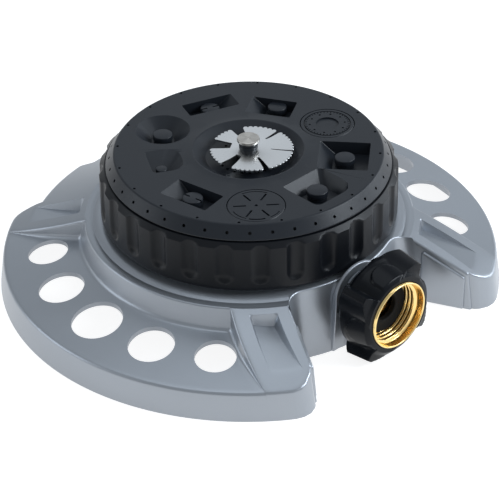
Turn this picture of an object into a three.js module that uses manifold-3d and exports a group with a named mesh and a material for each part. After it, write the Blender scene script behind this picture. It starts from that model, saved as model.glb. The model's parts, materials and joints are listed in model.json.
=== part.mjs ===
// Nine-pattern turret sprinkler on a heavy die-cast base, with a swivel hose nut.
// Millimetres, +Z up. The origin is at the middle of the underside, on the turret's axis.
// The hose comes in along -Y; the pierced side wings lie towards -X and +X.
import * as THREE from 'three';
import { mergeVertices } from 'three/addons/utils/BufferGeometryUtils.js';
import Module from 'manifold-3d';

const wasm = await Module();
wasm.setup();

// Driving dimensions of the base.
const BASE_R = 110;           // foot ring
const RIM_R = 108.3;          // upper edge of the drafted skirt
const RIM_Z = 12.9;
const HUB_FOOT_R = 74;        // where the wings meet the hub wall
const HUB_FOOT_Z = 19.7;
const HUB_TOP_R = 71.8;
const HUB_TOP_Z = 29.6;
const SKIN = 2.8;             // wall thickness of the casting
const NOTCH_HALF = 29.4;      // half angle of the hose notch, degrees from -Y
const NOTCH_WALL_TOP_R = 64.8;
const NOTCH_WALL_FOOT_R = 70.6;
const BACK_R = 97;          // the back rim stands in from the foot ring
const BACK_DIP_R = 92;
const BACK_DIP_HALF = 8.5;
const ARM_HUB = { r: 73, deg: 49.6 };    // wing-side edge of an arm, angle from the Y axis
const ARM_RIM = { r: 107, deg: 40.3 };
const GROOVE = { r0: 75, out0: 43.5, in0: 34.3, r1: 99, out1: 38.6, in1: 31.6, drop: 5.5 };
const WING_HOLE_R = 88.5;
const WING_HOLES = [
  { deg: 0, r: 12 },
  { deg: 19, r: 10.8 },
  { deg: -19, r: 10.8 },
  { deg: 37.3, r: 9.2 },
  { deg: -37.3, r: 9.2 },
];
const DECK_BORE_R = 52.6;     // opening in the hub's top plate
const PLATE_UNDER_Z = 26.8;
const PLATE_TOP_Z = 30.9;
const PLATE_BOSS_R = 60;      // raised ring of the top plate, inside the turret's grip
const PLATE_BOSS_Z = 33.2;

// Driving dimensions of the turret.
const DIAL_TOP_Z = 62.7;      // at the outer edge of the flat
const DIAL_CROWN_Z = 64;      // the top rises slightly to the rim of the bowl
const STATION_TOP_Z = 63.4;
const DIAL_FLAT_R = 57.2;
const DIAL_EDGE_R = 61.7;
const DIAL_EDGE_Z = 57.6;
const DIAL_WALL_R = 60.4;
const GRIP_R = 64.6;
const GRIP_BOTTOM_Z = 32.9;
const GRIP_TOP_Z = 55.9;
const STATIONS = 9;
const STATION_R = 41.5;
const STATION_PHASE = 70.7;
const FLUTES = 27;
const BOWL_R = 24.1;
const BOWL_FLOOR_R = 18.4;
const BOWL_FLOOR_Z = 58.8;
const CAP_TOP_Z = 61.6;

// Driving dimensions of the hose inlet, on a line along Y.
const INLET_Z = 21.2;
const NUT_BACK_Y = -73;
const NUT_FRONT_Y = -90.3;
const INSERT_FRONT_Y = -91.4;
const INSERT_START = 80.2;
const INSERT_R = 15.1;
const THREAD_R = 13.5;        // 3/4 inch garden hose thread, major radius
const THREAD_CREST_R = 12.6;
const THREAD_PITCH = 2.2;
const NIPPLE_R = 7.4;
const BOSS_R = 12.6;          // round boss of the casting behind the nut
const BOSS_FRONT_Y = -69;
const PIPE_R = 9.3;           // the valve body's pipe towards the inlet
const PIPE_END = 59.2;
const SCREW_R = 61.2;         // the valve body's four screws
const GAP = 0.3;

// Facets around a large, a middling and a small round.
const WIDE = 48;
const ROUND = 16;
const FINE = 10;

const rad = (deg) => (deg * Math.PI) / 180;
const polar = (r, deg) => [r * Math.cos(rad(deg)), r * Math.sin(rad(deg))];

// Solids: every geometry becomes a closed manifold with its placing baked in.
function solid(geometry, place = new THREE.Matrix4()) {
  const bare = geometry.clone().applyMatrix4(place);
  bare.deleteAttribute('normal');
  bare.deleteAttribute('uv');
  const merged = mergeVertices(bare, 1e-4);
  return new wasm.Manifold(new wasm.Mesh({
    numProp: 3,
    vertProperties: new Float32Array(merged.attributes.position.array),
    triVerts: new Uint32Array(merged.index.array),
  }));
}

function geometryOf(manifold) {
  const mesh = manifold.getMesh();
  const geometry = new THREE.BufferGeometry();
  geometry.setAttribute('position', new THREE.BufferAttribute(new Float32Array(mesh.vertProperties), 3));
  geometry.setIndex(new THREE.BufferAttribute(new Uint32Array(mesh.triVerts), 1));
  return geometry;
}

const union = (list) => list.reduce((all, next) => all.add(next));
const moved = (x, y, z) => new THREE.Matrix4().makeTranslation(x, y, z);
const turned = (deg) => new THREE.Matrix4().makeRotationZ(rad(deg));
// Turns a shape made about +Z so that its +Z runs along -Y at the inlet's height.
const alongInlet = new THREE.Matrix4().makeTranslation(0, 0, INLET_Z)
  .multiply(new THREE.Matrix4().makeRotationX(rad(90)));

// A turned shape about +Z from [radius, z] points; the profile starts and ends on the axis.
function turnedShape(profile, segments, place) {
  const lathe = new THREE.LatheGeometry(profile.map(([r, z]) => new THREE.Vector2(r, z)), segments);
  const upright = new THREE.Matrix4().makeRotationX(rad(90));
  return solid(lathe, (place ?? new THREE.Matrix4()).clone().multiply(upright));
}

const disc = (r, z0, z1, segments, place) => turnedShape([[0, z0], [r, z0], [r, z1], [0, z1]], segments, place);
const tube = (r, bore, z0, z1, segments, place) =>
  disc(r, z0, z1, segments, place).subtract(disc(bore, z0 - 1, z1 + 1, segments, place));

// A straight-sided block from an outline in plan.
function prism(points, z0, z1, place) {
  const shape = new THREE.Shape(points.map(([x, y]) => new THREE.Vector2(x, y)));
  const block = new THREE.ExtrudeGeometry(shape, { depth: z1 - z0, bevelEnabled: false });
  return solid(block, (place ?? new THREE.Matrix4()).clone().multiply(moved(0, 0, z0)));
}

function box(sx, sy, sz, x, y, z, place) {
  const at = (place ?? new THREE.Matrix4()).clone().multiply(moved(x, y, z));
  return solid(new THREE.BoxGeometry(sx, sy, sz), at);
}

// A ring of a small round section, such as an o-ring.
function ring(r, section, z, place) {
  const at = (place ?? new THREE.Matrix4()).clone().multiply(moved(0, 0, z));
  return solid(new THREE.TorusGeometry(r, section, 6, ROUND), at);
}

// A closed block from four corners in plan, each with its own height at the bottom and at the top.
function wedge(bottom, top, place) {
  const corners = [...bottom, ...top];
  const cross = ([x0, y0], [x1, y1]) => x0 * y1 - y0 * x1;
  const area = bottom.reduce((sum, corner, i) => sum + cross(corner, bottom[(i + 1) % 4]), 0);
  const faces = [0, 2, 1, 0, 3, 2, 4, 5, 6, 4, 6, 7];
  for (let i = 0; i < 4; i++) {
    const j = (i + 1) % 4;
    faces.push(i, j, j + 4, i, j + 4, i + 4);
  }
  const block = new THREE.BufferGeometry();
  block.setAttribute('position', new THREE.Float32BufferAttribute(corners.flat(), 3));
  block.setIndex(area > 0 ? faces : faces.reverse());
  return solid(block, place);
}

// A point given by its radius and its angle from the Y axis: side is 1 for +X, end is 1 for +Y.
const fromY = (r, deg, side, end) => [side * r * Math.sin(rad(deg)), end * r * Math.cos(rad(deg))];

// ---- Base casting -------------------------------------------------------

// Height of the raised fields, falling in a straight line from the hub to the rim.
const rampZ = (r) => HUB_TOP_Z - ((r - HUB_TOP_R) * (HUB_TOP_Z - RIM_Z)) / (RIM_R - HUB_TOP_R);

// Plan of the raised fields: two arms beside the hose notch, and one field across the back.
function raisedFields(inset) {
  const inner = [ARM_HUB.r - 8, ARM_HUB.deg + 2.6];
  const outer = [BASE_R + 3, ARM_RIM.deg - 0.9];
  const shrink = ([x, y]) => [x - Math.sign(x) * inset * 0.9, y];
  const arms = [-1, 1].map((side) => prism([
    fromY(60, NOTCH_HALF - 8, side, -1),
    fromY(BASE_R + 3, NOTCH_HALF - 8, side, -1),
    fromY(...outer, side, -1),
    fromY(...inner, side, -1),
  ].map(shrink), -1 - inset, 40));
  const back = prism([
    fromY(...inner, 1, 1),
    fromY(...outer, 1, 1),
    [0, BASE_R + 12],
    fromY(...outer, -1, 1),
    fromY(...inner, -1, 1),
  ].map(shrink), -1 - inset, 40);
  return union([...arms, back]);
}

// The outer form, or the same form one skin further in when inset is SKIN.
function baseForm(inset) {
  const down = (profile) => turnedShape(profile.map(([r, z]) => [r && r - inset, z - inset]), WIDE);
  const wings = down([[0, 0], [BASE_R, 0], [RIM_R, RIM_Z], [HUB_FOOT_R, HUB_FOOT_Z], [0, HUB_FOOT_Z]]);
  const hub = down([[0, 0], [HUB_FOOT_R, 0], [HUB_FOOT_R, HUB_FOOT_Z], [HUB_TOP_R, HUB_TOP_Z], [0, HUB_TOP_Z]]);
  const ramp = down([[0, 0], [BASE_R, 0], [RIM_R, RIM_Z], [HUB_TOP_R, HUB_TOP_Z], [0, HUB_TOP_Z]]);
  const form = union([wings, hub, ramp.intersect(raisedFields(inset))]);
  // The hose notch, whose inner wall leans out towards the foot.
  const notch = prism([
    [0, 0],
    fromY(BASE_R * 1.4, NOTCH_HALF, -1, -1),
    fromY(BASE_R * 1.4, NOTCH_HALF, 1, -1),
  ].map(([x, y]) => [x + Math.sign(x) * inset * 1.15, y]), -5, 40);
  const notchWall = turnedShape([
    [0, -6], [NOTCH_WALL_FOOT_R - inset, -6], [NOTCH_WALL_FOOT_R - inset, -inset],
    [NOTCH_WALL_TOP_R - inset, HUB_TOP_Z], [0, HUB_TOP_Z],
  ], WIDE);
  // The back rim, cut in from the foot ring, with a shallow dip in its middle.
  const backSector = (r, half) => prism([
    [0, 0],
    fromY(BASE_R * 1.4, half, 1, 1),
    [0, BASE_R * 1.8],
    fromY(BASE_R * 1.4, half, -1, 1),
  ], -5, 40).subtract(disc(r - inset, -6, 41, WIDE));
  const backCuts = backSector(BACK_R, NOTCH_HALF + inset).add(backSector(BACK_DIP_R, BACK_DIP_HALF + inset));
  return form.subtract(notch.subtract(notchWall)).subtract(backCuts);
}

// A tapering groove sunk into the top of an arm, running out towards the rim.
// With a skin it is the larger block that keeps the casting's thickness below the groove.
function armGroove(side, end, skin) {
  const { r0, out0, in0, r1, out1, in1, drop } = GROOVE;
  const plan = [[r0, out0], [r0, in0], [r1, in1], [r1, out1]].map(([r, deg]) => fromY(r, deg, side, end));
  const middle = [0, 1].map((k) => (plan[0][k] + plan[2][k]) / 2);
  const grow = 1 + skin / 9;
  const grown = plan.map((point) => point.map((v, k) => middle[k] + (v - middle[k]) * grow));
  const floor = [rampZ(r0) - drop, rampZ(r0) - drop, rampZ(r1), rampZ(r1)];
  return wedge(
    grown.map(([x, y], i) => [x, y, floor[i] - skin]),
    grown.map(([x, y]) => [x, y, HUB_TOP_Z + 6]),
  );
}

const armGrooves = (skin) => union([-1, 1].flatMap((side) => [-1, 1].map((end) => armGroove(side, end, skin))));

// A round boss around the inlet, on a foot that widens down to the ground.
function inletBoss() {
  const outline = new THREE.Shape();
  outline.moveTo(-BOSS_R - 3.6, 0);
  outline.lineTo(BOSS_R + 3.6, 0);
  outline.lineTo(BOSS_R, INLET_Z);
  outline.absarc(0, INLET_Z, BOSS_R, 0, Math.PI, false);
  const block = new THREE.ExtrudeGeometry(outline, { depth: 12, bevelEnabled: false, curveSegments: 8 });
  const upright = moved(0, BOSS_FRONT_Y + 12, 0).multiply(new THREE.Matrix4().makeRotationX(rad(90)));
  // The hollow of the hub behind the wall, and the turret's sweep above it, stay free.
  const behind = turnedShape([
    [0, -1], [NOTCH_WALL_FOOT_R - SKIN, -1], [NOTCH_WALL_TOP_R - SKIN, HUB_TOP_Z - 1],
    [NOTCH_WALL_TOP_R - SKIN, PLATE_TOP_Z], [GRIP_R + 0.7, PLATE_TOP_Z], [GRIP_R + 0.7, 41], [0, 41],
  ], WIDE);
  return solid(block, upright).subtract(behind);
}

function baseCasting() {
  const hollow = baseForm(SKIN).subtract(armGrooves(SKIN));
  let casting = baseForm(0).subtract(hollow).subtract(armGrooves(0));
  // The top plate, with the collar's steps around its edge and a raised ring inside the turret's grip.
  const plate = turnedShape([
    [0, PLATE_UNDER_Z], [HUB_TOP_R - 6, PLATE_UNDER_Z], [HUB_TOP_R - 7, HUB_TOP_Z],
    [70.1, HUB_TOP_Z], [70.1, HUB_TOP_Z + 0.7], [68.2, HUB_TOP_Z + 0.7],
    [68, HUB_TOP_Z + 0.2], [67.2, HUB_TOP_Z + 0.2], [67, PLATE_TOP_Z],
    [PLATE_BOSS_R, PLATE_TOP_Z], [PLATE_BOSS_R, PLATE_BOSS_Z], [0, PLATE_BOSS_Z],
  ], WIDE);
  const notchPlan = prism([[0, 0], fromY(150, NOTCH_HALF, -1, -1), fromY(150, NOTCH_HALF, 1, -1)], -5, 41);
  const inNotch = turnedShape([
    [0, 0], [NOTCH_WALL_FOOT_R, 0], [NOTCH_WALL_TOP_R, HUB_TOP_Z], [NOTCH_WALL_TOP_R, 40], [0, 40],
  ], WIDE);
  casting = casting.add(plate.subtract(notchPlan.subtract(inNotch))).add(inletBoss());
  // The deck's bore, the inlet's bore, and a relief under the top plate for the valve body's pipe.
  casting = casting.subtract(disc(DECK_BORE_R, PLATE_UNDER_Z - 5, HUB_TOP_Z + 5, 40));
  casting = casting.subtract(disc(NIPPLE_R + 0.6, 59, 76, ROUND, alongInlet));
  casting = casting.subtract(disc(PIPE_R + GAP, 40, PIPE_END + GAP, ROUND, alongInlet));
  for (const hole of WING_HOLES) {
    for (const turn of [0, 180]) {
      casting = casting.subtract(disc(hole.r, -2, 40, ROUND, moved(...polar(WING_HOLE_R, hole.deg + turn), 0)));
    }
  }
  // Four pillars under the top plate take the valve body's screws.
  for (const place of screwPlaces()) {
    casting = casting.add(tube(3.6, 1.4, 20, PLATE_UNDER_Z + 0.5, FINE, place));
  }
  return casting;
}

function screwPlaces() {
  return [45, 135, 225, 315].map((deg) => moved(...polar(SCREW_R, deg), 0));
}

// ---- Fixed water way ----------------------------------------------------

const DECK_TOP_Z = 31;        // the deck stands inside the top plate's raised ring
const SEAL_SEAT_Z = 27.2;
const DETENT_R = 46.8;
const portAt = moved(...polar(STATION_R, STATION_PHASE - 4 * (360 / STATIONS)), 0);
const detentAt = moved(...polar(DETENT_R, STATION_PHASE), 0);

function valveBody() {
  const flangeTop = PLATE_UNDER_Z - GAP;
  const deck = turnedShape([
    [0, 23.6], [57.4, 23.6], [57.4, flangeTop], [DECK_BORE_R - 0.4, flangeTop],
    [DECK_BORE_R - 0.4, DECK_TOP_Z], [0, DECK_TOP_Z],
  ], 40);
  const struts = [45, 135, 225, 315].flatMap((deg) => [
    box(10, 6, 3.2, SCREW_R - 5.2, 0, 18.1, turned(deg)),
    box(4, 6, 9, SCREW_R - 8.2, 0, 20.2, turned(deg)),
  ]);
  const ears = screwPlaces().map((place) => disc(4.6, 16.5, 19.7, FINE, place));
  const hubPost = disc(9, 12, 28, ROUND);
  const pipe = disc(PIPE_R, 30, PIPE_END, ROUND, alongInlet);
  const well = disc(9, 11.5, 28, ROUND, portAt);
  const body = union([deck, hubPost, pipe, well, ...struts, ...ears]);
  // The water way (nipple socket, pipe, well, pocket of the port seal), then the other bores.
  const bores = [
    disc(NIPPLE_R + GAP, 49.5, PIPE_END + 1, ROUND, alongInlet),
    disc(5, 36, PIPE_END + 1, FINE, alongInlet),
    disc(4.2, 15.5, 29, FINE, portAt),
    disc(7.3, SEAL_SEAT_Z, 32, ROUND, portAt),
    disc(2.4, 26, 32, FINE, detentAt),
    disc(3.35, 5, 40, FINE),
    ...screwPlaces().map((place) => disc(1.9, 10, 22, 8, place)),
  ];
  return body.subtract(union(bores));
}

function inletNipple() {
  const outside = turnedShape([
    [0, 50], [NIPPLE_R, 50], [NIPPLE_R, 76.3], [11.4, 76.3], [11.4, 79], [0, 79],
  ], ROUND, alongInlet);
  const groove = tube(NIPPLE_R + 1, NIPPLE_R - 1, 53.7, 55.5, ROUND, alongInlet);
  return outside.subtract(disc(5.2, 49, 80, ROUND, alongInlet)).subtract(groove);
}

// ---- Swivel nut ---------------------------------------------------------

function swivelNut() {
  const back = -NUT_BACK_Y;
  const front = -NUT_FRONT_Y;
  let nut = turnedShape([
    [0, back], [18.6, back], [20.2, back + 1.4], [20.2, back + 5],
    [17.8, front - 1.2], [17.4, front], [0, front],
  ], 32, alongInlet);
  const padStart = back + 5.5;
  const padLength = front - 1.5 - padStart;
  for (const deg of [45, 135, 225, 315]) {
    const wingAt = alongInlet.clone().multiply(turned(deg));
    nut = nut.add(prism([[14, -6.6], [24.4, -3.6], [24.4, 3.6], [14, 6.6]], back + 0.8, front - 3, wingAt));
    // A thumb pad between this wing and the next.
    const padAt = alongInlet.clone().multiply(turned(deg + 45));
    padAt.multiply(moved(10.9, 0, padStart + padLength / 2)).multiply(new THREE.Matrix4().makeRotationX(rad(90)));
    nut = nut.add(solid(new THREE.CylinderGeometry(9.5, 9, padLength, 14), padAt));
  }
  nut = nut.subtract(disc(8.8, back - 1, back + 5, ROUND, alongInlet));
  return nut.subtract(disc(INSERT_R + GAP, back + 2.6, front + 1, 28, alongInlet));
}

// A threaded sleeve: its inside swings between crest and root, turn after turn.
function brassInsert() {
  const start = INSERT_START;
  const end = -INSERT_FRONT_Y;
  const profile = [[0, start - 1], [THREAD_CREST_R - 0.9, start - 1]];
  for (let z = start - 1; z < end - 2.4; z += THREAD_PITCH) {
    profile.push([THREAD_CREST_R, z + THREAD_PITCH * 0.1], [THREAD_R, z + THREAD_PITCH * 0.5]);
  }
  profile.push([THREAD_R + 0.4, end - 0.8], [THREAD_R + 1, end + 1], [0, end + 1]);
  return disc(INSERT_R, start, end, 28, alongInlet).subtract(turnedShape(profile, 28, alongInlet));
}

// ---- Turret -------------------------------------------------------------

const stationDeg = (i) => STATION_PHASE - (i * 360) / STATIONS;
const atStation = (i, r = STATION_R) => turned(stationDeg(i)).multiply(moved(r, 0, 0));

// A pocket with sloping walls: half sizes at the top, half sizes at the floor, along and across the radius.
function taperedPocket(i, top, floor, floorZ, shift = 0) {
  const corners = ([hx, hy], z, dx) => [
    [dx - hx, -hy, z], [dx + hx, -hy, z], [dx + hx, hy, z], [dx - hx, hy, z],
  ];
  return wedge(corners(floor, floorZ, shift), corners(top, STATION_TOP_Z + 0.8, 0), atStation(i));
}

function bowlPocket(i, top, floor, floorZ) {
  const profile = [[0, floorZ], [floor, floorZ], [top, STATION_TOP_Z], [top, 65], [0, 65]];
  return turnedShape(profile, ROUND, atStation(i));
}

// The nine stations in turn, clockwise from above: a jet cap in a pocket, or a plate of holes.
const POCKETS = [
  { name: 'slot_jet_back', cap: 4.2, floorZ: 57, top: [5.2, 11.8], floor: [4.7, 5.6] },
  { name: 'fan_jet_back', cap: 4.2, floorZ: 57, top: [6.6, 10.3], floor: [5.4, 6.2], shift: 0.4 },
  { name: 'ring_pattern_plate', plate: 11.2 },
  { name: 'fan_jet_right', cap: 4.4, floorZ: 56.6, top: [11, 10.8], floor: [7.5, 6.4], shift: 1.6 },
  { name: 'fan_jet_front', cap: 4.4, floorZ: 56.6, top: [10.2, 10.6], floor: [6.8, 6.6], shift: 1.2 },
  { name: 'spoke_pattern_plate', plate: 12 },
  { name: 'slot_jet_left', cap: 4.4, floorZ: 57, top: [6.6, 11.6], floor: [5, 6] },
  { name: 'mist_jet', cap: 2.6, floorZ: 57.4, bowl: 7.8, floor: 3.4 },
  { name: 'cone_jet', cap: 4.3, floorZ: 56.6, bowl: 11.4, floor: 5.2 },
];

function pocketShape(i) {
  const { plate, bowl, top, floor, floorZ, shift } = POCKETS[i];
  if (plate) return disc(plate + GAP, 61.2, 65, ROUND, atStation(i));
  return bowl ? bowlPocket(i, bowl, floor, floorZ) : taperedPocket(i, top, floor, floorZ, shift);
}

function dialCover() {
  let cover = turnedShape([
    [0, 34], [DIAL_WALL_R, 34], [DIAL_WALL_R, 56.3], [DIAL_EDGE_R, 56.3], [DIAL_EDGE_R, DIAL_EDGE_Z],
    [DIAL_FLAT_R, DIAL_TOP_Z], [STATION_R, STATION_TOP_Z], [BOWL_R, DIAL_CROWN_Z],
    [BOWL_FLOOR_R, BOWL_FLOOR_Z], [0, BOWL_FLOOR_Z],
  ], WIDE);
  cover = cover.subtract(tube(DIAL_WALL_R - 2.6, 24, 33, 52.5, WIDE));
  for (let i = 0; i < STATIONS; i++) {
    // A wall between this chamber and the next, the pocket, and the water way up into it.
    cover = cover.add(box(36, 1.8, 15, STATION_R - 0.5, 0, 45.2, turned(stationDeg(i) + 180 / STATIONS)));
    cover = cover.subtract(pocketShape(i));
    cover = cover.subtract(disc(POCKETS[i].cap ? 1.6 : 5, 50, 61, 8, atStation(i)));
  }
  // Clearance for the pivot sleeve, and the lower plate's seat.
  cover = cover.subtract(disc(4.95, 30, 70, ROUND));
  return cover.subtract(disc(DIAL_WALL_R - 2.3, 30, 37.2, WIDE));
}

function gripRing() {
  let grip = turnedShape([
    [0, GRIP_BOTTOM_Z], [GRIP_R - 1.2, GRIP_BOTTOM_Z], [GRIP_R, GRIP_BOTTOM_Z + 1.4],
    [GRIP_R, GRIP_TOP_Z - 2], [GRIP_R - 2.2, GRIP_TOP_Z], [0, GRIP_TOP_Z],
  ], 2 * FLUTES).subtract(disc(DIAL_WALL_R + GAP, 30, 60, WIDE));
  // Upright flutes, rounded at their lower ends.
  for (let i = 0; i < FLUTES; i++) {
    const at = turned(STATION_PHASE + (i * 360) / FLUTES).multiply(moved(GRIP_R + 3.2, 0, 0));
    grip = grip.subtract(turnedShape([[0, 36.4], [3, 37.6], [4.7, 41], [4.7, 60], [0, 60]], 8, at));
  }
  return grip;
}

function dialLowerPlate() {
  let plate = disc(DIAL_WALL_R - 2.6, 34, 36.9, WIDE).subtract(disc(4.95, 30, 40, ROUND));
  for (let i = 0; i < STATIONS; i++) {
    plate = plate.subtract(disc(3, 30, 40, FINE, atStation(i)));
    // Shallow seats for the detent ball.
    plate = plate.subtract(disc(1.5, 33, 34.6, 8, atStation(i, DETENT_R)));
  }
  return plate;
}

// A pattern plate: a circle of small holes, or six short radial slots.
function patternPlate(i, radius) {
  const { name } = POCKETS[i];
  const at = atStation(i);
  let plate = disc(radius, 61.5, STATION_TOP_Z, ROUND, at);
  const count = name.startsWith('ring') ? 12 : 6;
  for (let k = 0; k < count; k++) {
    const turn = at.clone().multiply(turned(10 + (k * 360) / count));
    const cut = name.startsWith('ring')
      ? disc(0.45, 62.4, 65, 4, turn.multiply(moved(radius - 2, 0, 0)))
      : box(4.6, 0.9, 1, 6, 0, STATION_TOP_Z, turn);
    plate = plate.subtract(cut);
  }
  return plate;
}

// A round jet cap on a short stem, with its underside clear of the pocket floor.
function jetCap(i) {
  const { cap, floorZ, name } = POCKETS[i];
  const at = atStation(i);
  let piece = turnedShape([
    [0, floorZ - 3], [1.3, floorZ - 3], [1.3, floorZ + GAP], [cap, floorZ + GAP],
    [cap, CAP_TOP_Z - 0.3], [cap - 0.3, CAP_TOP_Z], [0, CAP_TOP_Z],
  ], 14, at);
  if (name.startsWith('slot')) {
    const across = at.clone().multiply(turned(90));
    for (const side of [-1, 1]) {
      piece = piece.subtract(box(2.6, 0.7, 1.4, side * (cap - 1.6), 0, CAP_TOP_Z - 0.4, across));
    }
  }
  return piece;
}

// ---- Centre post --------------------------------------------------------

// Petal edges in degrees, as start and end of each leaf of the deflector.
const PETALS = [[6, 55], [-49.3, -0.3], [-104.8, -51], [-159.5, -112.6], [134.3, 179], [71.2, 108.3]];
const FAN_R = 18.4;
const FAN_Z = 62.6;

function fanDeflector() {
  const z0 = FAN_Z;
  const z1 = FAN_Z + 0.8;
  let fan = disc(7, z0, z1, ROUND);
  for (const [from, to] of PETALS) {
    // Each leaf runs out from the hub and ends in a row of shallow teeth.
    const steps = Math.max(3, Math.round((to - from) / 7)) * 2;
    const leaf = [polar(4, to - 4), polar(4, from + 4)];
    for (let k = 0; k <= steps; k++) {
      leaf.push(polar(FAN_R - (k % 2 ? 0 : 0.8), from + ((to - from) * k) / steps));
    }
    fan = fan.add(prism(leaf, z0, z1));
  }
  return fan.subtract(disc(3.3, 60, 66, FINE));
}

function centreBolt() {
  return turnedShape([
    [0, 4.5], [2.8, 4.5], [2.8, 67], [4.5, 67], [4.9, 67.3], [4.9, 68], [4.3, 68.4], [0, 68.6]], ROUND);
}

// ---- Assembly -----------------------------------------------------------

const finishes = {
  castZinc: { color: 0x9aa0a9, roughness: 0.38, metalness: 0.85 },
  blackPlastic: { color: 0x2d3036, roughness: 0.45, metalness: 0 },
  gripPlastic: { color: 0x232529, roughness: 0.5, metalness: 0 },
  stainless: { color: 0xd9dbde, roughness: 0.18, metalness: 1 },
  nickel: { color: 0xc7c2b8, roughness: 0.22, metalness: 1 },
  brass: { color: 0xd2a43c, roughness: 0.22, metalness: 1 },
  rubber: { color: 0x1c1c1d, roughness: 0.8, metalness: 0 },
  acetal: { color: 0x3a3d40, roughness: 0.5, metalness: 0 },
  springSteel: { color: 0xa8abb0, roughness: 0.3, metalness: 1 },
};

const object = new THREE.Group();

function put(name, shape, finish, parent = object) {
  const mesh = new THREE.Mesh(geometryOf(shape), new THREE.MeshStandardMaterial(finishes[finish]));
  mesh.name = name;
  parent.add(mesh);
}

const fixed = new THREE.Group();
const dial = new THREE.Group();
const hoseNut = new THREE.Group();
object.add(fixed, dial, hoseNut);

put('base_casting', baseCasting(), 'castZinc', fixed);
put('valve_body', valveBody(), 'acetal', fixed);
screwPlaces().forEach((place, i) => {
  const profile = [[0, 13.6], [3.4, 13.6], [3.4, 16.2], [1.1, 16.2], [1.1, 26], [0, 26.8]];
  put(`valve_screw_${i + 1}`, turnedShape(profile, FINE, place), 'springSteel', fixed);
});
put('inlet_nipple', inletNipple(), 'brass', fixed);
put('inlet_o_ring', ring(NIPPLE_R - 0.35, 0.5, 54.6, alongInlet), 'rubber', fixed);
put('pivot_sleeve', tube(4.6, 3.25, DECK_TOP_Z + GAP, 62.3, ROUND), 'acetal', fixed);
put('sleeve_o_ring', ring(6, 0.9, 32.6), 'rubber', fixed);
put('fan_deflector', fanDeflector(), 'stainless', fixed);
put('post_collar', tube(4, 3.2, 63.7, 66.7, ROUND), 'blackPlastic', fixed);
put('centre_bolt', centreBolt(), 'nickel', fixed);
put('bolt_washer', tube(6.5, 3.2, 10.4, 11.7, ROUND), 'springSteel', fixed);
put('bolt_nut', disc(5, 6.2, 10.1, 6).subtract(disc(3.1, 5, 12, FINE)), 'springSteel', fixed);

put('dial_cover', dialCover(), 'blackPlastic', dial);
put('grip_ring', gripRing(), 'gripPlastic', dial);
put('dial_lower_plate', dialLowerPlate(), 'acetal', dial);
POCKETS.forEach(({ name, plate }, i) => {
  put(name, plate ? patternPlate(i, plate) : jetCap(i), 'blackPlastic', dial);
});

put('port_seal', tube(6.8, 3, 29.9, 33.7, ROUND, portAt), 'rubber');
put('seal_spring', tube(6.4, 5.4, SEAL_SEAT_Z + GAP, 29.6, ROUND, portAt), 'springSteel', fixed);
const ball = new THREE.SphereGeometry(2.1, 10, 7);
put('detent_ball', solid(ball, detentAt.clone().multiply(moved(0, 0, 31.6))), 'springSteel');
put('detent_spring', tube(2, 1.4, 26.3, 29.2, FINE, detentAt), 'springSteel', fixed);

put('swivel_nut', swivelNut(), 'blackPlastic', hoseNut);
put('brass_insert', brassInsert(), 'brass', hoseNut);
const washer = tube(THREAD_CREST_R - 1.2, 7.4, INSERT_START + 0.4, INSERT_START + 3.2, ROUND, alongInlet);
put('hose_washer', washer, 'rubber', hoseNut);

export default object;
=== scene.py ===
"""Turret lawn sprinkler: a turning pattern dial on a pierced cast base, with a swivel hose nut."""
import json
import math

import bmesh
import bpy
import numpy as np
from mathutils import Matrix, Vector


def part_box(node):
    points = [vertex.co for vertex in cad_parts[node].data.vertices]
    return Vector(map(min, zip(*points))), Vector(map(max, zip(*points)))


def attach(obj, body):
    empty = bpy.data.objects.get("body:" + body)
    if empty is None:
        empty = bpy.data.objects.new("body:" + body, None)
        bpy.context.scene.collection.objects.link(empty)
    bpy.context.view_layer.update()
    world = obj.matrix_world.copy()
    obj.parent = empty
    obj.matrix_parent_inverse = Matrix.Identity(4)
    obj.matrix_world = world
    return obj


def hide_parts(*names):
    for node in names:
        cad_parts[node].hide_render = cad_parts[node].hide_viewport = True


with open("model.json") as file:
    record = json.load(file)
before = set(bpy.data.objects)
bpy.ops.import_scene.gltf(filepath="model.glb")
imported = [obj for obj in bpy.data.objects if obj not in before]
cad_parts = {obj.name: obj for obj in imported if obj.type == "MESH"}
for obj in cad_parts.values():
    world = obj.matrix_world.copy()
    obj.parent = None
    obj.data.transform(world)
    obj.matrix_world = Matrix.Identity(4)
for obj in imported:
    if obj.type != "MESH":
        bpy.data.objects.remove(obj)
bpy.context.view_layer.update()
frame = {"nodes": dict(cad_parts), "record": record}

MM = 0.001


def span(node):
    """Lowest and highest corner of a CAD node, in millimetres."""
    low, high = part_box(node)
    return Vector(low) / MM, Vector(high) / MM


# Sizes in millimetres. The main ones come from the frame.
BASE_LOW, BASE_HIGH = span("base_casting")
GRIP_LOW, GRIP_HIGH = span("grip_ring")
NUT_LOW, NUT_HIGH = span("swivel_nut")
INSERT_LOW, INSERT_HIGH = span("brass_insert")
FAN_UNDER_Z = span("fan_deflector")[0].z
BASE_R = (BASE_HIGH.x - BASE_LOW.x) / 2
GRIP_R = 64.6
INLET_Z = (INSERT_LOW.z + INSERT_HIGH.z) / 2

# Base: the skirt's upper edge, the hub wall's foot and top, and the casting's wall thickness.
SKIRT_DRAFT = 1.7
RIM_R = BASE_R - SKIRT_DRAFT
RIM_Z = 12.9
RIM_ROUND = 1.7
HUB_FOOT_R = 74.0
HUB_FOOT_Z = 19.7
HUB_TOP_R = 71.8
HUB_TOP_Z = 29.6
HUB_EDGE_ROUND = 1.0
HUB_FOOT_HOLLOW = 2.2
SKIN = 1.7
PLATE_UNDER_Z = 26.8
DECK_BORE_R = 52.6
SCREW_R = 61.2

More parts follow.
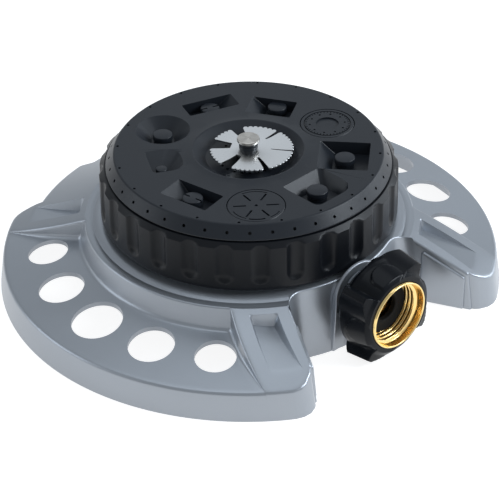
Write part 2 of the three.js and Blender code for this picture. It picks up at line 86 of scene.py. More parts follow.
# Hose notch: half its angle, its inner wall, and its side walls' line. NOTCH_LINE is how far a side wall
# stands back from its radial line at the pad's start, per millimetre outwards, and per millimetre up.
NOTCH_HALF = 29.4
NOTCH_TOP_R = 64.8
NOTCH_FOOT_R = 70.6
NOTCH_TOP_Z = 30.9
NOTCH_FILLET = 9.0
NOTCH_LINE = (-1.9, -0.055, 0.09)
NOTCH_LINE_R = 77
SIDE_EDGE = 1.0
# The shift of the side wall fades out over these angles and radii.
LEAN_INSIDE = (8, 21)
LEAN_OUTSIDE = (35.5, 30.6)
LEAN_RADII = (62, 67)
# Pads on the notch's side walls, from their start to their end along the wall.
PAD_START = 77.5
PAD_END = 97.5
# Boss round the inlet, by distance from the turret's axis.
BOSS_BACK = 60.0
BOSS_STEP = 65.4
BOSS_FRONT = 67.8
BOSS_LEAN = 1.7

# Rim behind: its radius, and the dip in its middle by depth, half angle and half width of its slopes.
BACK_R = 97.6
BACK_DIP = 5.6
BACK_DIP_HALF = 8.5
BACK_DIP_SLOPE = 1.2

# Arms: the wing-side wall by (radius, angle) at both ends, and the groove's edges by angle at both ends.
ARM_CORNER_R = 9.5
ARM_HUB = (73, 49.6)
ARM_RIM = (107, 40.35)
ARM_EDGE = 1.0
ARM_HOLLOW = 2.2
GROOVE_DROP = 5.5
GROOVE_START_R = 75.0
GROOVE_END_R = 99.0
GROOVE_INNER = (34.3, 31.6)
GROOVE_OUTER = (43.5, 38.6)
GROOVE_SIDES = (1.5, 1.2)

# Wing holes: radius of their circle, then the angle and radius of each hole.
WING_HOLE_R = 88.5
WING_HOLES = [(0, 11.0), (19, 9.9), (-19, 9.9), (37.3, 8.8), (-37.3, 8.8)]

# Turret: stations, the dial's top from the bowl's rim out to the bevel, and the centre bowl.
STATIONS = 9
STATION_R = 41.5
STATION_PHASE = 70.7
CROWN_Z = 62.9
FLAT_R = 58.0
TOP_Z = 62.35
EDGE_R = 61.7
EDGE_Z = 56.9
DIAL_WALL_R = 60.3
DIAL_UNDER_Z = 34.0
FLUTES = 27
BOWL_R = 24.1
BOWL_FLOOR_R = 18.4
BOWL_FLOOR_Z = 58.8
CAP_TOP_Z = 60.9
POST_HOLE_R = 5.1


# ---- Mesh helpers -------------------------------------------------------

def piece_from(name, bm, smooth_angle=35.0):
    """A Blender object from a bmesh in millimetres, smooth but for edges sharper than the angle."""
    bmesh.ops.remove_doubles(bm, verts=bm.verts, dist=0.004)
    bmesh.ops.dissolve_degenerate(bm, edges=bm.edges, dist=0.002)
    loose = [v for v in bm.verts if not v.link_faces]
    bmesh.ops.delete(bm, geom=loose, context="VERTS")
    bmesh.ops.recalc_face_normals(bm, faces=bm.faces)
    bmesh.ops.scale(bm, vec=(MM, MM, MM), verts=bm.verts)
    mesh = bpy.data.meshes.new(name)
    bm.to_mesh(mesh)
    bm.free()
    obj = bpy.data.objects.new(name, mesh)
    bpy.context.collection.objects.link(obj)
    shade(obj, smooth_angle)
    return obj


def shade(obj, angle):
    for polygon in obj.data.polygons:
        polygon.use_smooth = True
    obj.data.set_sharp_from_angle(angle=math.radians(angle))


def grid_into(bm, points, wrap_rows=True, wrap_columns=True, place=Matrix()):
    """Quads over a grid of points, columns by rows by xyz. Either way round can close on itself."""
    columns, rows = len(points), len(points[0])
    verts = [[bm.verts.new(place @ Vector(p)) for p in column] for column in points]
    for i in range(columns if wrap_columns else columns - 1):
        for j in range(rows if wrap_rows else rows - 1):
            near, far = verts[i], verts[(i + 1) % columns]
            corners = (near[j], far[j], far[(j + 1) % rows], near[(j + 1) % rows])
            if len(set(corners)) == 4:
                bm.faces.new(corners)


def revolve_into(bm, profile, segments, place=Matrix()):
    """A closed outline of (radius, height) turned about Z."""
    columns = []
    for k in range(segments):
        a = 2 * math.pi * k / segments
        columns.append([(r * math.cos(a), r * math.sin(a), z) for r, z in profile])
    grid_into(bm, columns, place=place)


def turned(name, profile, segments=64, place=Matrix(), smooth_angle=35.0):
    bm = bmesh.new()
    revolve_into(bm, profile, segments, place)
    return piece_from(name, bm, smooth_angle)


def prism_into(bm, outline, z0, z1, place=Matrix(), top=None):
    """A straight or tapered block over an outline in plan; top is the outline at z1 if it differs."""
    lower = [bm.verts.new(place @ Vector((x, y, z0))) for x, y in outline]
    upper = [bm.verts.new(place @ Vector((x, y, z1))) for x, y in (top or outline)]
    bm.faces.new(lower[::-1])
    bm.faces.new(upper)
    count = len(outline)
    for k in range(count):
        bm.faces.new((lower[k], lower[(k + 1) % count], upper[(k + 1) % count], upper[k]))


def disc_outline(r, segments, centre=(0, 0)):
    turn = 2 * math.pi / segments
    return [(centre[0] + r * math.cos(k * turn), centre[1] + r * math.sin(k * turn)) for k in range(segments)]


def evaluated(obj):
    """Applies the object's modifiers to its mesh."""
    graph = bpy.context.evaluated_depsgraph_get()
    mesh = bpy.data.meshes.new_from_object(obj.evaluated_get(graph))
    obj.modifiers.clear()
    old = obj.data
    obj.data = mesh
    bpy.data.meshes.remove(old)


def cut(obj, bm, smooth_angle=35.0, solver="EXACT"):
    """Takes the cutters in the bmesh out of the object."""
    cutter = piece_from("cutter", bm)
    modifier = obj.modifiers.new("cut", "BOOLEAN")
    modifier.operation = "DIFFERENCE"
    modifier.object = cutter
    modifier.solver = solver
    evaluated(obj)
    mesh = cutter.data
    bpy.data.objects.remove(cutter)
    bpy.data.meshes.remove(mesh)
    shade(obj, smooth_angle)


def soften(obj, width, segments=2, angle=30.0):
    """Rounds every edge sharper than the angle."""
    modifier = obj.modifiers.new("soften", "BEVEL")
    modifier.width = width * MM
    modifier.segments = segments
    modifier.limit_method = "ANGLE"
    modifier.angle_limit = math.radians(angle)
    modifier.use_clamp_overlap = True
    modifier.harden_normals = False
    evaluated(obj)
    shade(obj, 35.0)


def even_normals(obj):
    """Lets the large faces set the shading, so that rounded edges do not darken flat ground."""
    modifier = obj.modifiers.new("normals", "WEIGHTED_NORMAL")
    modifier.keep_sharp = True
    modifier.weight = 80
    evaluated(obj)


def smooth_step(x):
    x = min(max(x, 0.0), 1.0)
    return x * x * (3 - 2 * x)


def soft_max(a, b, width):
    """The larger of two values, with a small round where they meet."""
    near = max(width - abs(a - b), 0) / width
    return max(a, b) + near * near * width / 4


def fade(values, start, end):
    """Rises from 0 at start to 1 at end, and stays level outside them."""
    return np.clip((values - start) / (end - start), 0, 1)


def fillet(a, b, c, radius, count):
    """Points of the arc that rounds corner b of the path a-b-c."""
    a, b, c = np.array(a, float), np.array(b, float), np.array(c, float)
    u = (a - b) / np.linalg.norm(a - b)
    v = (c - b) / np.linalg.norm(c - b)
    half = math.acos(np.clip(np.dot(u, v), -1, 1)) / 2
    middle = b + (u + v) / np.linalg.norm(u + v) * radius / math.sin(half)
    start, end = b + u * radius / math.tan(half) - middle, b + v * radius / math.tan(half) - middle
    arc = []
    for t in np.linspace(0, 1, count):
        between = start * (1 - t) + end * t
        arc.append(middle + between / np.linalg.norm(between) * radius)
    return arc


def rounded_outline(points, radii, count=5):
    """A closed outline in plan with its corners rounded."""
    result = []
    total = len(points)
    for k, radius in enumerate(radii):
        before, corner, after = points[k - 1], points[k], points[(k + 1) % total]
        if radius:
            result += [tuple(p) for p in fillet(before, corner, after, radius, count)]
        else:
            result.append(tuple(corner))
    return result


# ---- Materials ----------------------------------------------------------

BROAD_SCALE = 38.0
RELIEF_DEPTH = 0.0004


def surface(name, color, metallic, roughness, grain=900.0, bump=0.03, tint=0.04, specular=0.5):
    """A principled material whose colour, roughness and relief vary with two scales of noise."""
    vary = 0.12
    material = bpy.data.materials.new(name)
    material.use_nodes = True
    nodes, links = material.node_tree.nodes, material.node_tree.links
    shader = nodes["Principled BSDF"]
    shader.inputs["Metallic"].default_value = metallic
    shader.inputs["Specular IOR Level"].default_value = specular
    place = nodes.new("ShaderNodeTexCoord")
    broad = nodes.new("ShaderNodeTexNoise")
    broad.inputs["Scale"].default_value = BROAD_SCALE
    broad.inputs["Detail"].default_value = 5.0
    fine = nodes.new("ShaderNodeTexNoise")
    fine.inputs["Scale"].default_value = grain
    fine.inputs["Detail"].default_value = 3.0
    for noise in (broad, fine):
        links.new(place.outputs["Object"], noise.inputs["Vector"])
    ramp = nodes.new("ShaderNodeMapRange")
    ramp.inputs["To Min"].default_value = roughness * (1 - vary)
    ramp.inputs["To Max"].default_value = roughness * (1 + vary)
    links.new(broad.outputs["Fac"], ramp.inputs["Value"])
    links.new(ramp.outputs["Result"], shader.inputs["Roughness"])
    mix = nodes.new("ShaderNodeMix")
    mix.data_type = "RGBA"
    mix.inputs["A"].default_value = (*[c * (1 - tint) for c in color], 1)
    mix.inputs["B"].default_value = (*[min(1, c * (1 + tint)) for c in color], 1)
    links.new(broad.outputs["Fac"], mix.inputs["Factor"])
    links.new(mix.outputs["Result"], shader.inputs["Base Color"])
    relief = nodes.new("ShaderNodeBump")
    relief.inputs["Strength"].default_value = bump
    relief.inputs["Distance"].default_value = RELIEF_DEPTH
    links.new(fine.outputs["Fac"], relief.inputs["Height"])
    links.new(relief.outputs["Normal"], shader.inputs["Normal"])
    return material


MATERIALS = {
    "cast_body": surface("cast_silver", (0.335, 0.36, 0.395), 0.7, 0.34, bump=0.08, grain=1500, tint=0.05),
    "dark_plastic": surface(
        "dial_plastic", (0.012, 0.015, 0.020), 0, 0.38, bump=0.06, grain=2200, tint=0.1, specular=0.28),
    "grip_plastic": surface(
        "grip_plastic", (0.005, 0.006, 0.008), 0, 0.34, bump=0.03, grain=1800, tint=0.1, specular=0.2),
    "nut_plastic": surface(
        "nut_plastic", (0.003, 0.004, 0.006), 0, 0.26, bump=0.03, grain=1800, tint=0.1, specular=0.14),
    "inner_plastic": surface("inner_plastic", (0.045, 0.048, 0.052), 0, 0.5, bump=0.05, tint=0.1),
    "stainless": surface("stainless", (0.62, 0.63, 0.64), 1, 0.22, bump=0.02, grain=1600),
    "nickel": surface("nickel", (0.5, 0.48, 0.45), 1, 0.3, bump=0.02),
    "brass": surface("brass", (0.93, 0.68, 0.29), 1, 0.2, bump=0.0, tint=0.05),
    "seals": surface("seal_rubber", (0.006, 0.006, 0.006), 0, 0.7, bump=0.08, specular=0.2),
    "steel_parts": surface("plated_steel", (0.55, 0.56, 0.58), 1, 0.3, bump=0.03),
}


def finish(obj, body, slot, *nodes):
    """Gives a piece its material and its place in the frame."""
    obj.data.materials.clear()
    obj.data.materials.append(MATERIALS[slot])
    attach(obj, body)
    if nodes:
        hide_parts(*nodes)


# ---- Base casting -------------------------------------------------------
# The casting is a closed skin on columns round the turret's axis. Angles are in degrees from the hose
# side. A column is a list of (radius, angle, height) from the deck's bore out to the foot.

OUTER_INSETS = 1.5    # insets below this are on the outer face, the others on the inner one
PLATEAU_ROWS = 24
SKIRT_ROWS = 6
WING_COLUMNS = 56
# Columns across the back, in degrees from its middle, closer together at the slopes of the dip.
BACK_ANGLES = [
    28.6, 27, 25, 23, 21, 19, 17, 15, 13, 11.5, 10.5, 9.7, 9.2, 8.5, 7.8, 7.3, 6.5, 5, 3.5, 1.7, 0,
]


def on_line(r, inner, outer):
    """Value at radius r on the straight line through two (radius, value) points."""
    return inner[1] + (r - inner[0]) * (outer[1] - inner[1]) / (outer[0] - inner[0])


def collar(inset):
    """The top plate from its bore to the hub wall, with the stepped collar round the turret."""
    steps = [
        (DECK_BORE_R, 33.2), (59.6, 33.2), (60, 32.9), (60, 31.2), (60.3, 30.9), (64.9, 30.9), (65.6, 30.75),
        (67.9, 30.0), (68.15, 29.78), (68.45, 29.75), (68.7, 29.88), (70.3, 29.65),
    ]
    if inset < OUTER_INSETS:
        return [(r, z - inset) for r, z in steps]
    reach = (HUB_TOP_R - inset - 2.6 - DECK_BORE_R) / (steps[-1][0] - DECK_BORE_R)
    return [(DECK_BORE_R + (r - DECK_BORE_R) * reach, PLATE_UNDER_Z) for r, z in steps]


def profile(rim_r, raised, inset):
    """Rows of (radius, height): over the wings, or over the raised fields."""
    top = (HUB_TOP_R - inset, HUB_TOP_Z - inset)
    foot = (HUB_FOOT_R - inset, HUB_FOOT_Z - inset)
    rim = (RIM_R - inset, RIM_Z - inset)
    rows = collar(inset)
    before = (top[0] - 5, top[1])
    hub = [tuple(p) for p in fillet(before, top, foot, HUB_EDGE_ROUND, 6)]
    hub += [tuple(p) for p in fillet(top, foot, rim, HUB_FOOT_HOLLOW, 8)]
    inner = top if raised else foot
    if raised:
        hub = [(r, min(top[1], on_line(r, top, rim)) if r > top[0] else top[1]) for r, _ in hub]
    rows = rows + hub
    start = hub[-1][0]
    corner_r = rim_r - inset
    corner = (corner_r, on_line(corner_r, inner, rim))
    ground = (rim_r + SKIRT_DRAFT * (corner[1] + inset) / RIM_Z - inset, 0.0)
    arc = [tuple(p) for p in fillet((start, on_line(start, inner, rim)), corner, ground, RIM_ROUND, 6)]
    for r in np.linspace(start, arc[0][0], PLATEAU_ROWS + 2)[1:-1]:
        rows.append((r, on_line(r, inner, rim)))
    rows += arc
    for t in np.linspace(0, 1, SKIRT_ROWS + 1)[1:]:
        rows.append(tuple(np.array(arc[-1]) * (1 - t) + np.array(ground) * t))
    return np.array(rows)


def notch_profile(inset, total):
    """Rows down the notch's inner wall, which leans out towards the foot."""
    head = (NOTCH_TOP_R - inset, NOTCH_TOP_Z if inset < OUTER_INSETS else PLATE_UNDER_Z)
    foot = (NOTCH_FOOT_R - inset, 0.0)
    arc = [tuple(p) for p in fillet((head[0] - 5, head[1]), head, foot, 0.8, 6)]
    deck = [(min(r, arc[0][0]), z) for r, z in collar(inset)]
    rows = deck + arc
    for t in np.linspace(0, 1, total - len(rows) + 1)[1:]:
        rows.append(tuple(np.array(arc[-1]) * (1 - t) + np.array(foot) * t))
    return np.array(rows)


def notch_column(notch, inset, along, round_corner):
    """A column on the notch's inner wall, or part of the way round its hollow corner fillet."""
    deck = np.array(collar(inset))
    count = len(deck)
    side = math.radians(NOTCH_HALF)
    reach = notch[:, 0] + inset + NOTCH_FILLET
    centre = side - np.arcsin(NOTCH_FILLET / reach)
    if not round_corner:
        angle = np.degrees(centre) * along
        angle[:count] = angle[count]
        return np.stack([notch[:, 0], angle, notch[:, 1]], axis=1)
    toward = (centre + math.pi) * (1 - along) + (side + math.pi / 2) * along
    x = reach * np.cos(centre) + (NOTCH_FILLET + inset) * np.cos(toward)
    y = reach * np.sin(centre) + (NOTCH_FILLET + inset) * np.sin(toward)
    r, angle = np.hypot(x, y), np.degrees(np.arctan2(y, x))
    angle[:count] = angle[count]
    edge_r = r[count]
    # Radii that rise at every step, so that heights can be looked up between them.
    deck_r = deck[:, 0] + np.arange(count) * 1e-6
    r[:count] = np.minimum(deck[:, 0], edge_r)
    z = notch[:, 1].copy()
    z[:count] = np.interp(r[:count], deck_r, deck[:, 1])
    z[count:] *= np.interp(edge_r, deck_r, deck[:, 1]) / notch[count, 1]
    return np.stack([r, angle, z], axis=1)


def degrees_at(r, distance):
    return np.degrees(distance / r)


def notch_edge(r, inset):
    return NOTCH_HALF + degrees_at(r, inset)


def side_top(r, inset, front):
    """Angle of the top of an arm's inner side, beside the rounded edge over the notch."""
    return notch_edge(r, inset) + (degrees_at(r, SIDE_EDGE) if front else 0)


def wall_shift(along, z):
    """How far the notch's side wall stands back from its radial line: it leans, and closes in outwards."""
    back, close, lean = NOTCH_LINE
    return back + close * (along - NOTCH_LINE_R) + lean * z


def leaning(column):
    """Moves a column near the notch's side wall over to the wall's true line."""
    r, angle, z = column[:, 0], column[:, 1], column[:, 2]
    beside = np.minimum(fade(angle, *LEAN_INSIDE), fade(angle, *LEAN_OUTSIDE))
    share = beside * fade(r, *LEAN_RADII)
    return np.stack([r, angle + degrees_at(r, wall_shift(r, z)) * share, z], axis=1)


def arm_wall(r, inset):
    """Angle of the arm's wing-side wall, a straight line in plan."""
    return on_line(r, ARM_HUB, ARM_RIM) - degrees_at(r, inset * 1.08)


def groove_depth(r):
    """Share of the groove's full depth along the arm, with and without its end wall."""
    taper = np.clip((GROOVE_END_R - r) / (GROOVE_END_R - GROOVE_START_R), 0, 1)
    return taper * np.clip((r - GROOVE_START_R + 0.35) / 0.7, 0, 1), taper


def groove_lines(r, inset):
    """Angles of the groove's two edges and the two edges of its floor."""
    taper = groove_depth(r)[1]
    along = (r - GROOVE_START_R) / (GROOVE_END_R - GROOVE_START_R)
    wider = degrees_at(r, inset * 0.8) * taper
    inner = GROOVE_INNER[0] + (GROOVE_INNER[1] - GROOVE_INNER[0]) * along - wider
    outer = GROOVE_OUTER[0] + (GROOVE_OUTER[1] - GROOVE_OUTER[0]) * along + wider
    return inner, inner + GROOVE_SIDES[0] * taper, outer - GROOVE_SIDES[1] * taper, outer


def rim_radius(angle):
    """Radius of the rim at an angle from the hose side: arm corners, and the set-back rim behind."""
    if angle < 90:
        corner = ARM_CORNER_R
        along = max(math.radians(angle - NOTCH_HALF) * RIM_R - SIDE_EDGE, 0)
        low = RIM_R - corner
    else:
        behind = 180 - angle
        if behind < NOTCH_HALF:
            edge = (BACK_DIP_HALF + BACK_DIP_SLOPE - behind) / (2 * BACK_DIP_SLOPE)
            return BACK_R - BACK_DIP * smooth_step(edge)
        corner = RIM_R - BACK_R
        along = math.radians(behind - NOTCH_HALF) * RIM_R
        low = BACK_R
    if along >= corner:
        return RIM_R
    return low + math.sqrt(max(corner ** 2 - (corner - along) ** 2, 0))


def arm_columns(inset, front):
    """Columns over one arm, from the notch's side to the top of its wing-side wall."""
    places = []
    for f in 1 - np.cos(np.linspace(0, math.pi / 2, 9)):
        places.append((
            lambda r, f=f: side_top(r, inset, front) * (1 - f) + groove_lines(r, inset)[0] * f, 0.0))
    for f, weight in ((0.15, 0.12), (0.5, 0.5), (0.85, 0.88), (1.0, 1.0)):
        places.append((lambda r, f=f: mix_lines(r, inset, 0, 1, f), weight))
    for f in (0.15, 0.38, 0.62, 0.85, 1.0):
        places.append((lambda r, f=f: mix_lines(r, inset, 1, 2, f), 1.0 - 0.2 * f))
    for f, weight in ((0.15, 0.7), (0.5, 0.4), (0.85, 0.1), (1.0, 0.0)):
        places.append((lambda r, f=f: mix_lines(r, inset, 2, 3, f), weight))
    for f in (0.2, 0.5, 0.75):
        places.append((
            lambda r, f=f: groove_lines(r, inset)[3] * (1 - f) + (arm_wall(r, inset) - 0.7) * f, 0.0))
    columns = []
    for place, weight in places:
        rim_angle = place(RIM_R)
        rows = profile(rim_radius(rim_angle if front else 180 - rim_angle), True, inset)
        r, z = rows[:, 0], rows[:, 1].copy()
        z -= GROOVE_DROP * weight * groove_depth(r)[0] * (z > 3)
        columns.append(np.stack([r, place(r), z], axis=1))
    return columns


def mix_lines(r, inset, first, second, f):
    lines = groove_lines(r, inset)
    return lines[first] * (1 - f) + lines[second] * f


def wall_columns(inset):
    """Columns down the wing-side wall of an arm: a rounded edge, the wall, and a hollow fillet."""
    arm, wing = profile(RIM_R, True, inset), profile(RIM_R, False, inset)
    height = np.maximum(arm[:, 1] - wing[:, 1], 0)
    edge = np.minimum(ARM_EDGE, height * 0.3)
    hollow = np.minimum(ARM_HOLLOW, height * 0.45)
    columns = []
    for t in np.radians([90, 60, 30, 0]):
        angle = arm_wall(arm[:, 0], inset) - degrees_at(arm[:, 0], edge * (1 - math.cos(t)))
        columns.append(np.stack([arm[:, 0], angle, arm[:, 1] - edge * (1 - math.sin(t))], axis=1))
    for t in np.radians([90, 67, 45, 22, 0]):
        angle = arm_wall(wing[:, 0], inset) + degrees_at(wing[:, 0], hollow * (1 - math.sin(t)))
        columns.append(np.stack([wing[:, 0], angle, wing[:, 1] + hollow * (1 - math.cos(t))], axis=1))
    return columns


def mirrored_to_back(columns):
    """The same columns behind the turret, in the opposite order."""
    return [np.stack([c[:, 0], 180 - c[:, 1], c[:, 2]], axis=1) for c in reversed(columns)]


def half_skin(inset):
    """Columns from the middle of the notch round to the middle of the back."""
    front_arm = arm_columns(inset, True)
    notch = notch_profile(inset, len(front_arm[0]))
    columns = [notch_column(notch, inset, f, False) for f in np.linspace(0, 1, 12)]
    columns += [notch_column(notch, inset, f, True) for f in np.linspace(0, 1, 13)[1:]]
    corner = columns[-1]
    # The arm's side wall stands in the plane of the notch's edge, under a small rounded edge.
    rounded = []
    for t in np.radians([90, 68, 45, 22]):
        aside = SIDE_EDGE * (1 - math.sin(t))
        rim_r = rim_radius(NOTCH_HALF + degrees_at(RIM_R, aside))
        flush = profile(rim_r, True, inset)
        sunk = profile(rim_r, True, inset + SIDE_EDGE * (1 - math.cos(t)))
        share = np.clip((flush[:, 0] - 71.5) / 1.5, 0, 1)[:, None]
        rows = flush * (1 - share) + sunk * share
        angle = notch_edge(rows[:, 0], inset) + degrees_at(rows[:, 0], aside)
        rounded.append(np.stack([rows[:, 0], angle, rows[:, 1]], axis=1))
    for f in np.linspace(0, 1, 9)[1:-1]:
        columns.append(corner * (1 - f) + rounded[0] * f)
        columns[-1][:, 1] = notch_edge(columns[-1][:, 0], inset)
    columns += rounded + front_arm
    columns = [leaning(column) for column in columns]
    near_walls = wall_columns(inset)
    far_walls = mirrored_to_back(near_walls)
    columns += near_walls
    for f in np.linspace(0, 1, WING_COLUMNS + 2)[1:-1]:
        columns.append(near_walls[-1] * (1 - f) + far_walls[0] * f)
    columns += far_walls
    columns += mirrored_to_back(arm_columns(inset, False))
    for behind in BACK_ANGLES:
        rows = profile(rim_radius(180 - behind), True, inset)
        columns.append(np.stack([rows[:, 0], np.full(len(rows), 180 - behind), rows[:, 1]], axis=1))
    return columns


def casting_skin():
    outer, inner = half_skin(0.0), half_skin(SKIN)
    half = [np.concatenate([a, b[::-1]]) for a, b in zip(outer, inner)]
    points = []
    for side, columns in ((1, half), (-1, half[-2:0:-1])):
        for column in columns:
            angle = np.radians(column[:, 1])
            x, y = side * column[:, 0] * np.sin(angle), -column[:, 0] * np.cos(angle)
            points.append(np.stack([x, y, column[:, 2]], axis=1))
    return points


def wing_hole_cutters():
    bm = bmesh.new()
    for side in (0, 180):
        for deg, r in WING_HOLES:
            spin = Matrix.Rotation(math.radians(deg + side), 4, "Z")
            prism_into(bm, disc_outline(r, 72), 2, 40, spin @ Matrix.Translation((WING_HOLE_R, 0, 0)))
    return bm


def base_casting():
    bm = bmesh.new()
    grid_into(bm, casting_skin())
    base = piece_from("cast_base", bm, 40.0)
    cut(base, wing_hole_cutters(), 40.0)
    return base


# Stands a shape made about +Z up, so that its +Z runs towards the hose.
STAND = Matrix.Rotation(math.radians(90), 4, "X")


def arch(half_width, foot_half_width, crown_z):
    """An arch about the inlet's axis on legs that spread to the foot, cut off level at the crown."""
    legs = [(-foot_half_width, 0), (foot_half_width, 0)]
    turns = np.linspace(0, math.pi, 33)
    bow = [(half_width * math.cos(a), INLET_Z + half_width * math.sin(a)) for a in turns]
    return legs + [(x, min(z, crown_z)) for x, z in bow]


def notch_pad(name, side):
    """A raised field on one side wall of the notch, with a sloping top."""
    corners = [(PAD_START, 0.02), (PAD_END, 0.02), (PAD_END, 15.4), (PAD_START, 24.6)]
    shape = rounded_outline(corners, (0, 0, 1.6, 1.2), 5)
    a = math.radians(NOTCH_HALF)
    bm = bmesh.new()
    layers = []
    for depth in (-1.0, 0.8):
        layer = []
        for along, z in shape:
            aside = wall_shift(along, z) + depth
            x = side * (along * math.sin(a) + aside * math.cos(a))
            layer.append(bm.verts.new((x, aside * math.sin(a) - along * math.cos(a), z)))
        layers.append(layer)
    proud, sunk = layers
    bm.faces.new(proud)
    bm.faces.new(sunk[::-1])
    for k in range(len(shape)):
        ahead = (k + 1) % len(shape)
        bm.faces.new((proud[k], sunk[k], sunk[ahead], proud[ahead]))
    pad = piece_from("notch_pad_" + name, bm)
    soften(pad, 0.7, 3, 40)
    return pad


def inlet_boss_back():
    """The wide part of the boss, which runs into the hub."""
    crown = NOTCH_TOP_Z - 0.25
    bm = bmesh.new()
    prism_into(bm, arch(14.9, 17.8, crown), BOSS_BACK, BOSS_STEP + 0.02, STAND, arch(14.5, 16.9, crown))
    return piece_from("inlet_boss_back", bm)


def inlet_boss():
    """The front of the boss, which leans forward towards its foot."""
    open_top = 99
    bm = bmesh.new()
    prism_into(bm, arch(14.5, 17.6, open_top), BOSS_STEP, BOSS_FRONT, STAND, arch(14.1, 17.4, open_top))
    for vert in bm.verts:
        if vert.co.y < 0.8 - BOSS_FRONT:
            vert.co.y -= BOSS_LEAN * (1 - vert.co.z / INLET_Z)
    boss = piece_from("inlet_boss", bm)
    soften(boss, 0.4, 3, 35)
    return boss


def inlet_neck():
    """The short round neck between the boss and the hose nut."""
    outline = [(7.7, 67.6), (11.4, 67.6), (11.4, 68.7), (11.1, 69.0), (7.7, 69.0)]
    return turned("inlet_neck", outline, 56, inlet_frame())


def screw_pillars():
    """Four pillars under the top plate, for the valve body's screws."""
    bm = bmesh.new()
    for deg in (45, 135, 225, 315):
        a = math.radians(deg)
        at = Matrix.Translation((SCREW_R * math.cos(a), SCREW_R * math.sin(a), 0))
        revolve_into(bm, [(1.5, 20), (3.3, 20), (3.6, 20.4), (3.8, 27.2), (1.5, 27.2)], 24, at)
    return piece_from("screw_pillars", bm)


def inlet_frame():
    """Takes a shape made about +Z to the inlet's axis, with its +Z running towards the hose."""
    return Matrix.Translation((0, 0, INLET_Z)) @ STAND


# ---- Turret -------------------------------------------------------------

def station_deg(i):
    return STATION_PHASE - i * 360 / STATIONS


def at_station(i, r=STATION_R):
    return Matrix.Rotation(math.radians(station_deg(i)), 4, "Z") @ Matrix.Translation((r, 0, 0))


# Pockets by station: limits of the mouth and of the floor, outwards from the axis and anticlockwise,
# both from the station's own point, and the radii of the corners of each.
SHARP = (0.6, 0.6, 0.6, 0.6)
BOXES = {
    0: {"mouth": (-5.2, 4.6, -12.0, 11.6), "floor": (-4.7, 4.4, -4.6, 11.2), "z": 57.0},
    1: {"mouth": (-11.5, 1.9, -10.2, 10.2), "floor": (-10.6, 1.7, -9.6, 3.4), "z": 57.0},
    3: {"mouth": (-11.2, 10.6, -12.6, 9.6), "floor": (-5.2, 10.2, -12.0, 9.2), "z": 56.6,
        "mouth_corners": (2.6, 0.6, 0.6, 0.6)},
    4: {"mouth": (-9.9, 10.9, -10.6, 11.6), "floor": (-4.9, 10.2, -9.2, 8.0), "z": 56.6,
        "mouth_corners": (0.6, 3.0, 7.0, 3.0), "floor_corners": (0.6, 1.5, 4.0, 1.5)},
    6: {"mouth": (-5.7, 7.4, -10.4, 13.0), "floor": (-5.4, 6.8, -4.6, 12.6), "z": 57.0},
    7: {"mouth": (-12.5, 2.1, -10.0, 7.7), "floor": (-5.3, 1.2, -1.0, 6.2), "z": 57.4,
        "mouth_corners": (7.0, 0.8, 2.0, 7.0), "floor_corners": (2.4, 0.5, 1.0, 2.4)},
}
BOWLS = {8: {"mouth": 11.9, "floor": 5.0, "z": 56.6, "shift": (-0.4, 0.7)}}
ROSES = {2: ("ring_pattern_plate", 11.8, (-1.2, -1.9)), 5: ("spoke_pattern_plate", 12.2, (2.4, 0))}
CAPS = {
    0: ("slot_jet_back", 4.2, 57.0, (0, 0)), 1: ("fan_jet_back", 4.2, 57.0, (-1.0, -1.7)),
    3: ("fan_jet_right", 4.4, 56.6, (0, 0)), 4: ("fan_jet_front", 4.5, 56.6, (0, 0)),
    6: ("slot_jet_left", 4.4, 57.0, (0.6, 1.5)), 7: ("mist_jet", 2.5, 57.4, (-2.6, 2.5)),
    8: ("cone_jet", 4.3, 56.6, (-0.9, 1.8)),
}


def box_points(limits, radii=SHARP):
    r0, r1, t0, t1 = limits
    return rounded_outline([(r0, t0), (r1, t0), (r1, t1), (r0, t1)], radii, 4)


def rose_frame(i):
    """A rose's middle on the dial's top."""
    return at_station(i) @ Matrix.Translation((*ROSES[i][2], TOP_Z))


def pocket_cutters():
    bm = bmesh.new()
    lift = TOP_Z - 57.0
    for i, pocket in BOXES.items():
        # The walls run on straight above the dial's top, so the mouth is right at the surface.
        over = [m + (m - f) * 1.2 / lift for m, f in zip(pocket["mouth"], pocket["floor"])]
        floor_shape = box_points(pocket["floor"], pocket.get("floor_corners", SHARP))
        mouth_shape = box_points(over, pocket.get("mouth_corners", SHARP))
        prism_into(bm, floor_shape, pocket["z"], TOP_Z + 1.2, at_station(i), mouth_shape)
    for i, bowl in BOWLS.items():
        slope = (bowl["mouth"] - bowl["floor"]) / (TOP_Z - bowl["z"])
        top = bowl["mouth"] + slope * 1.2
        outline = [(0, bowl["z"]), (bowl["floor"], bowl["z"]), (top, TOP_Z + 1.2), (0, TOP_Z + 1.2)]
        revolve_into(bm, outline, 64, at_station(i) @ Matrix.Translation((*bowl["shift"], 0)))
    for i, (_, radius, _) in ROSES.items():
        revolve_into(bm, [(0, -2.4), (radius + 0.25, -2.4), (radius + 0.25, 3), (0, 3)], 72, rose_frame(i))
    return bm


# Fine jets: how many, the first one's angle, the circle's radius, the jet's radius, and its two ends.
# The ends are heights, but for the bevel's jets, whose ends are measured from the bevel along the jet.
BEVEL_JETS = (40, 2, 60.0, 0.72, -2.2, 2)
TOP_JETS = (20, 6.5, 56.6, 0.65, 59.6, 66)
BOWL_JETS = (24, 4, 13.2, 0.7, 56, 60)
BEVEL_JET_Z = 59.2


def jet_row(bm, row, height=0, tilt=Matrix()):
    """A circle of fine jets, each tilted about its own point."""
    count, first, circle_r, jet_r, low, high = row
    for k in range(count):
        spin = Matrix.Rotation(math.radians(first + k * (360 / count)), 4, "Z")
        place = spin @ Matrix.Translation((circle_r, 0, height)) @ tilt
        prism_into(bm, disc_outline(jet_r, 12), low, high, place)


